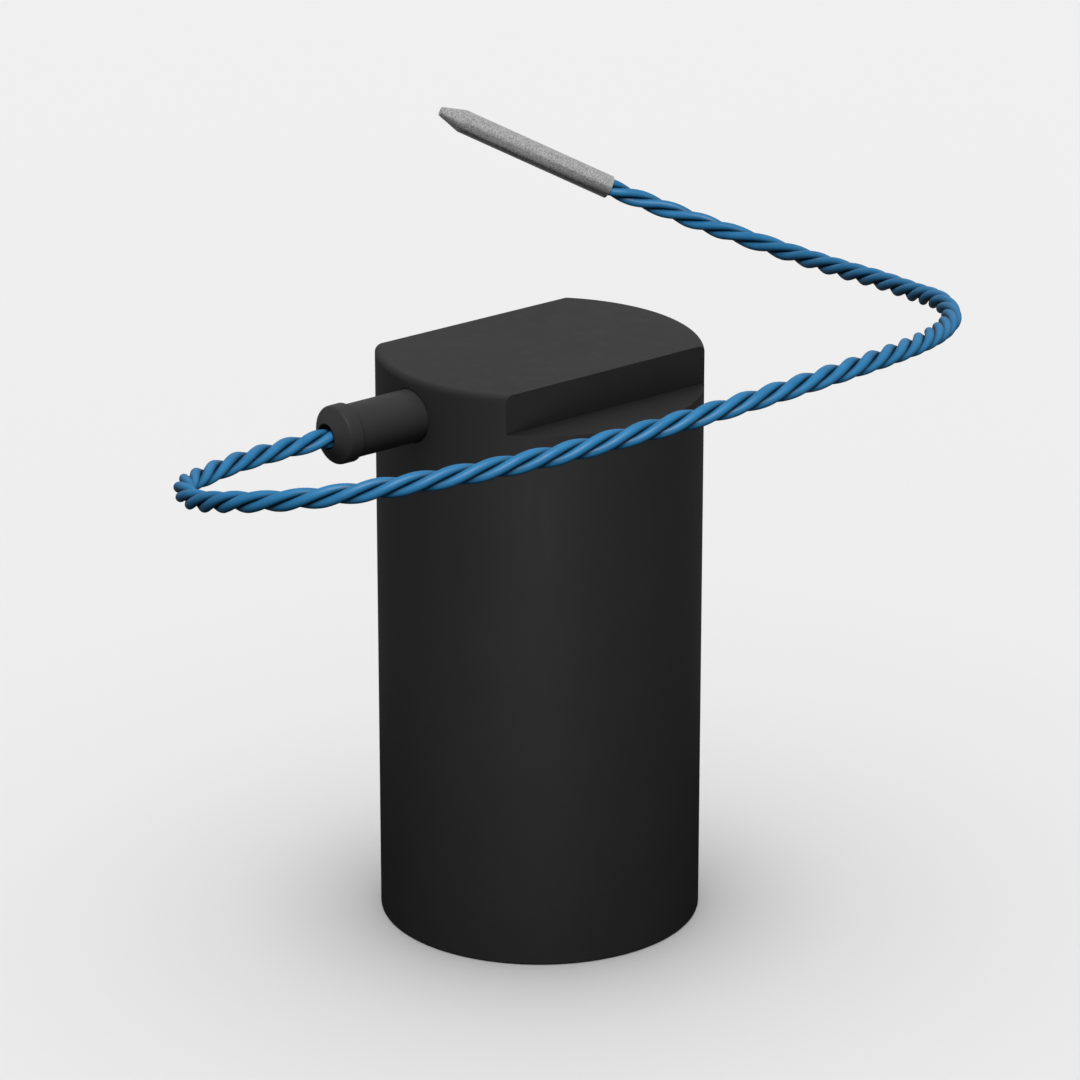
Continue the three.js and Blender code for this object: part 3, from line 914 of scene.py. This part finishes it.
world = bpy.data.worlds.new("world")
bpy.context.scene.world = world
world.use_nodes = True
tree = world.node_tree
sky = tree.nodes["Background"]
direction = tree.nodes.new("ShaderNodeTexCoord").outputs["Generated"]
split = tree.nodes.new("ShaderNodeSeparateXYZ")
tree.links.new(direction, split.inputs[0])
height = tree.nodes.new("ShaderNodeMapRange")
height.inputs["From Min"].default_value = -1
tree.links.new(split.outputs["Z"], height.inputs["Value"])
ramp = tree.nodes.new("ShaderNodeValToRGB")
tree.links.new(height.outputs["Result"], ramp.inputs["Fac"])
tree.links.new(ramp.outputs["Color"], sky.inputs["Color"])
while len(ramp.color_ramp.elements) < len(SKY_TONES):
    ramp.color_ramp.elements.new(1)
for stop, (place, tone) in zip(ramp.color_ramp.elements, SKY_TONES):
    stop.position = place
    stop.color = (tone, tone, tone, 1)
sky.inputs["Strength"].default_value = SKY_STRENGTH
backdrop = tree.nodes.new("ShaderNodeBackground")
backdrop.inputs["Color"].default_value = BACKDROP
light_path = tree.nodes.new("ShaderNodeLightPath")
mix = tree.nodes.new("ShaderNodeMixShader")
tree.links.new(light_path.outputs["Is Camera Ray"], mix.inputs["Fac"])
tree.links.new(sky.outputs["Background"], mix.inputs[1])
tree.links.new(backdrop.outputs["Background"], mix.inputs[2])
tree.links.new(mix.outputs["Shader"], tree.nodes["World Output"].inputs["Surface"])


BODY_AIM = Vector((0, 0, 0.065))
ROUGHLY_MIDDLE = Vector((0, 0, 0.05))


def softbox(name, azimuth, elevation, distance, size, power, only, aim=ROUGHLY_MIDDLE):
    """A round light that reaches only the given collection.

    Angles are in degrees, and azimuth 0 is on the -Y side.
    """
    a, e = math.radians(azimuth), math.radians(elevation)
    offset = Vector((math.sin(a) * math.cos(e), -math.cos(a) * math.cos(e), math.sin(e)))
    light = bpy.data.objects.new(name, bpy.data.lights.new(name, "AREA"))
    light.data.shape = "DISK"
    light.data.size = size
    light.data.energy = power
    light.location = aim + offset * distance
    light.rotation_mode = "QUATERNION"
    light.rotation_quaternion = (-offset).to_track_quat("-Z", "Y")
    light.visible_camera = False
    bpy.context.scene.collection.objects.link(light)
    light.light_linking.receiver_collection = only
    return light


def lit_by(name, chosen):
    """A collection of the pieces that a light reaches."""
    group = bpy.data.collections.new(name)
    for obj in bpy.context.scene.objects:
        if obj.type == "MESH" and chosen(obj):
            group.objects.link(obj)
    return group


BODY_PIECES = ("housing", "base_closure")
STAGE_PIECES = ("floor", "under_shade")
SOLO_PIECES = (*BODY_PIECES, *STAGE_PIECES, "lead_strands", "pin_sheath")
body_lit = lit_by("body_lit", lambda obj: obj.name in BODY_PIECES)
pin_lit = lit_by("pin_lit", lambda obj: obj.name == "pin_sheath")
lead_lit = lit_by("lead_lit", lambda obj: obj.name == "lead_strands")
rest_lit = lit_by("rest_lit", lambda obj: obj.name not in SOLO_PIECES)
all_lit = lit_by("all_lit", lambda obj: obj.name not in STAGE_PIECES)
floor_lit = lit_by("floor_lit", lambda obj: obj is floor)
CAMERA_SIDE = -VIEW_AZIMUTH
PIN_MIDDLE = (lead_end + PIN_TIP) / 2 * MM

# name, azimuth, elevation, distance and size in metres, watts, what it reaches
softbox("body_front", CAMERA_SIDE, 0, 0.13, 0.08, 0.0299, body_lit, BODY_AIM)
softbox("body_low", CAMERA_SIDE, -15, 0.13, 0.06, 0.0386, body_lit, BODY_AIM)
softbox("body_top", CAMERA_SIDE, 90, 0.25, 0.25, 0.405, body_lit)
softbox("lead_key", -26, 52, 0.9, 0.5, 22.5, lead_lit)
softbox("pin_low", CAMERA_SIDE, -32, 0.04, 0.045, 0.0011, pin_lit, PIN_MIDDLE)
softbox("key", CAMERA_SIDE, 60, 0.9, 0.5, 9.5, rest_lit)
back_fill = softbox("back_fill", CAMERA_SIDE + 180, 25, 0.9, 0.6, 3.2, all_lit)
back_fill.visible_glossy = False

# A very wide sun overhead, so that the floor is evenly lit as far as the horizon
FLOOR_LIGHT = 1.51
FLOOR_LIGHT_SPREAD = math.radians(74)
floor_top = bpy.data.objects.new("floor_top", bpy.data.lights.new("floor_top", "SUN"))
floor_top.data.energy = FLOOR_LIGHT
floor_top.data.angle = FLOOR_LIGHT_SPREAD
floor_top.light_linking.receiver_collection = floor_lit
bpy.context.scene.collection.objects.link(floor_top)

bpy.context.scene.view_settings.view_transform = "Standard"
bpy.context.scene.view_settings.look = "None"
